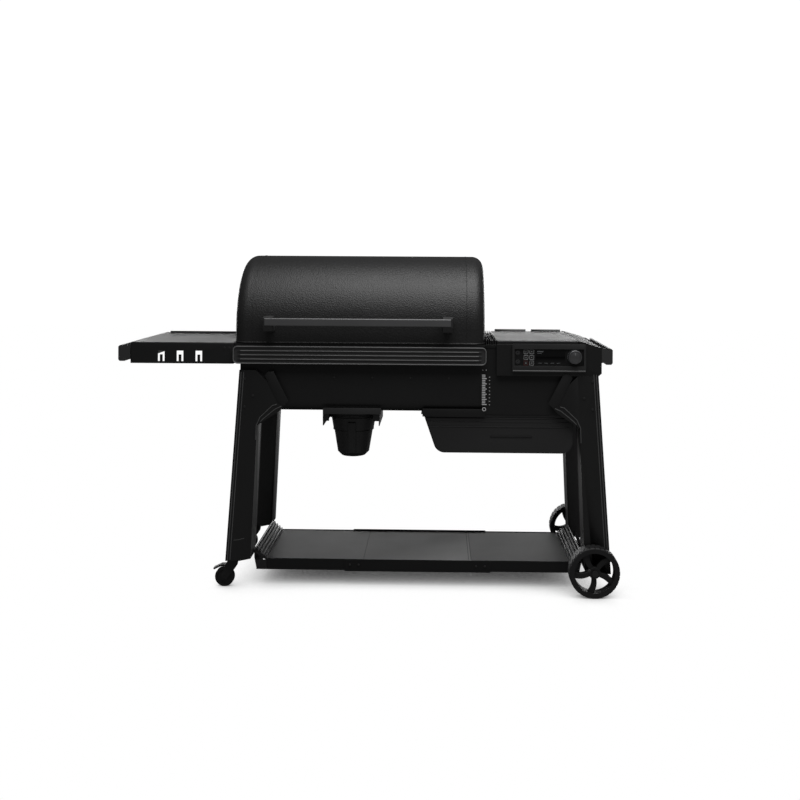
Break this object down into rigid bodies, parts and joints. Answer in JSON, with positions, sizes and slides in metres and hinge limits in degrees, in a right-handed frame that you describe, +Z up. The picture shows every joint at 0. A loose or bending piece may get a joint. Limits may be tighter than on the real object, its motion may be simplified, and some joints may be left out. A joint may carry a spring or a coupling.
{
  "type": "pellet smoker grill",
  "caption": "Barrel pellet smoker on a four-leg cart with hopper and control panel at the right, side shelf at the left, grease keg, storage bin, bottom shelf, wheels and casters.",
  "frame": {"origin": "on the ground, under the middle of the overall box", "axes": "+X to the right as seen from the front, towards the hopper; +Y to the back; +Z up"},
  "size_m": [1.8006, 0.635, 1.203],
  "materials": {
    "lid_black": "fine textured powder coat",
    "casing_black": "satin powder coat",
    "rail_black": "satin extruded rail",
    "handle_grey": "satin dark grey",
    "shelf_black": "satin powder coat",
    "leg_black": "satin powder coat",
    "bezel_black": "moulded frame",
    "panel_black": "gloss control face",
    "button_black": "soft-touch key",
    "knob_grey": "anodised dark grey",
    "wheel_black": "moulded wheel",
    "caster_black": "moulded caster",
    "steel": "zinc plated",
    "dark_fastener": "blackened screw head",
    "grate_enamel": "porcelain-enamelled",
    "firebox_steel": "stainless",
    "keg_black": "satin powder coat",
    "motor_grey": "grey housing",
    "inlet_black": "socket plastic"
  },
  "bodies": {
    "root": {"barrel_shell": "casing_black", "front_rail": "rail_black", "left_rail": "rail_black", "right_rail": "rail_black", "left_shelf": "shelf_black", "hopper_casing": "casing_black", "hopper_funnel": "firebox_steel", "hinge_brackets": "casing_black", "hinge_pins": "steel", "control_bezel": "bezel_black", "control_face": "panel_black", "probe_jacks": "steel", "leg_front_left": "leg_black", "leg_front_right": "leg_black", "leg_rear_left": "leg_black", "leg_rear_right": "leg_black", "shelf_end_left": "shelf_black", "shelf_end_right": "shelf_black", "bottom_shelf_left": "shelf_black", "bottom_shelf_middle": "shelf_black", "bottom_shelf_right": "shelf_black", "wheel_axle": "steel", "keg_rails": "casing_black", "storage_bin": "keg_black", "fire_pot": "firebox_steel", "igniter_rod": "steel", "auger_tube": "firebox_steel", "auger_motor": "motor_grey", "fan_housing": "motor_grey", "heat_baffle": "firebox_steel", "drain_pan": "grate_enamel", "grate_left": "grate_enamel", "grate_right": "grate_enamel", "temperature_probe": "steel", "exhaust_duct": "casing_black", "power_inlet": "inlet_black", "pan_head_screws": "dark_fastener"},
    "lid": {"lid": "lid_black", "lid_handle": "handle_grey", "handle_brackets": "handle_grey"},
    "hopper_lid": {"hopper_lid": "shelf_black"},
    "knob_push": {"knob_shaft": "steel"},
    "knob": {"control_knob": "knob_grey"},
    "auger": {"auger_screw": "steel"},
    "fan": {"fan_impeller": "bezel_black"},
    "keg": {"grease_keg": "keg_black"},
    "wheel_front": {"wheel_front": "wheel_black"},
    "wheel_rear": {"wheel_rear": "wheel_black"},
    "caster_front": {"caster_fork_front": "caster_black"},
    "caster_front_wheel": {"caster_wheel_front": "wheel_black"},
    "caster_front_brake": {"caster_brake_front": "caster_black"},
    "caster_rear": {"caster_fork_rear": "caster_black"},
    "caster_rear_wheel": {"caster_wheel_rear": "wheel_black"},
    "caster_rear_brake": {"caster_brake_rear": "caster_black"},
    "button_row1_left": {"button_row1_left": "button_black"},
    "button_row1_right": {"button_row1_right": "button_black"},
    "button_row2_left": {"button_row2_left": "button_black"},
    "button_row2_right": {"button_row2_right": "button_black"},
    "button_row3_left": {"button_row3_left": "button_black"},
    "button_row3_right": {"button_row3_right": "button_black"}
  },
  "joints": [
    {"name": "lid_hinge", "type": "hinge", "parent": "root", "child": "lid", "pos_m": [-0.03025, 0.24, 0.895], "axis": [-1, 0, 0], "range_deg": [0, 75]},
    {"name": "hopper_lid_hinge", "type": "hinge", "parent": "root", "child": "hopper_lid", "pos_m": [0.61125, 0.175, 0.898], "axis": [-1, 0, 0], "range_deg": [0, 95]},
    {"name": "button_row1_left_press", "type": "slide", "parent": "root", "child": "button_row1_left", "axis": [0, 1, 0], "range_m": [0, 0.001], "stiffness_N_per_m": 500},
    {"name": "button_row1_right_press", "type": "slide", "parent": "root", "child": "button_row1_right", "axis": [0, 1, 0], "range_m": [0, 0.001], "stiffness_N_per_m": 500},
    {"name": "button_row2_left_press", "type": "slide", "parent": "root", "child": "button_row2_left", "axis": [0, 1, 0], "range_m": [0, 0.001], "stiffness_N_per_m": 500},
    {"name": "button_row2_right_press", "type": "slide", "parent": "root", "child": "button_row2_right", "axis": [0, 1, 0], "range_m": [0, 0.001], "stiffness_N_per_m": 500},
    {"name": "button_row3_left_press", "type": "slide", "parent": "root", "child": "button_row3_left", "axis": [0, 1, 0], "range_m": [0, 0.001], "stiffness_N_per_m": 500},
    {"name": "button_row3_right_press", "type": "slide", "parent": "root", "child": "button_row3_right", "axis": [0, 1, 0], "range_m": [0, 0.001], "stiffness_N_per_m": 500},
    {"name": "knob_press", "type": "slide", "parent": "root", "child": "knob_push", "axis": [0, 1, 0], "range_m": [0, 0.0015], "stiffness_N_per_m": 600},
    {"name": "knob_turn", "type": "hinge", "parent": "knob_push", "child": "knob", "pos_m": [0.74175, -0.27, 0.848], "axis": [0, -1, 0], "continuous": true},
    {"name": "auger_turn", "type": "hinge", "parent": "root", "child": "auger", "pos_m": [0.38875, -0.01, 0.702], "axis": [1, 0, 0], "continuous": true},
    {"name": "fan_spin", "type": "hinge", "parent": "root", "child": "fan", "pos_m": [0.54875, 0.12, 0.696], "axis": [0, 1, 0], "continuous": true},
    {"name": "keg_pull", "type": "slide", "parent": "root", "child": "keg", "axis": [0, -1, 0], "range_m": [0, 0.2]},
    {"name": "wheel_front_roll", "type": "hinge", "parent": "root", "child": "wheel_front", "pos_m": [0.81075, -0.287, 0.0895], "axis": [0, 1, 0], "continuous": true},
    {"name": "wheel_rear_roll", "type": "hinge", "parent": "root", "child": "wheel_rear", "pos_m": [0.81075, 0.267, 0.0895], "axis": [0, 1, 0], "continuous": true},
    {"name": "caster_front_swivel", "type": "hinge", "parent": "root", "child": "caster_front", "pos_m": [-0.48925, -0.2195, 0.09], "axis": [0, 0, 1], "continuous": true},
    {"name": "caster_front_roll", "type": "hinge", "parent": "caster_front", "child": "caster_front_wheel", "pos_m": [-0.51825, -0.2195, 0.035], "axis": [0, 1, 0], "continuous": true},
    {"name": "caster_front_brake_press", "type": "hinge", "parent": "caster_front", "child": "caster_front_brake", "pos_m": [-0.51025, -0.2195, 0.075], "axis": [0, -1, 0], "range_deg": [0, 6]},
    {"name": "caster_rear_swivel", "type": "hinge", "parent": "root", "child": "caster_rear", "pos_m": [-0.48925, 0.1995, 0.09], "axis": [0, 0, 1], "continuous": true},
    {"name": "caster_rear_roll", "type": "hinge", "parent": "caster_rear", "child": "caster_rear_wheel", "pos_m": [-0.51825, 0.1995, 0.035], "axis": [0, 1, 0], "continuous": true},
    {"name": "caster_rear_brake_press", "type": "hinge", "parent": "caster_rear", "child": "caster_rear_brake", "pos_m": [-0.51025, 0.1995, 0.075], "axis": [0, -1, 0], "range_deg": [0, 6]}
  ]
}
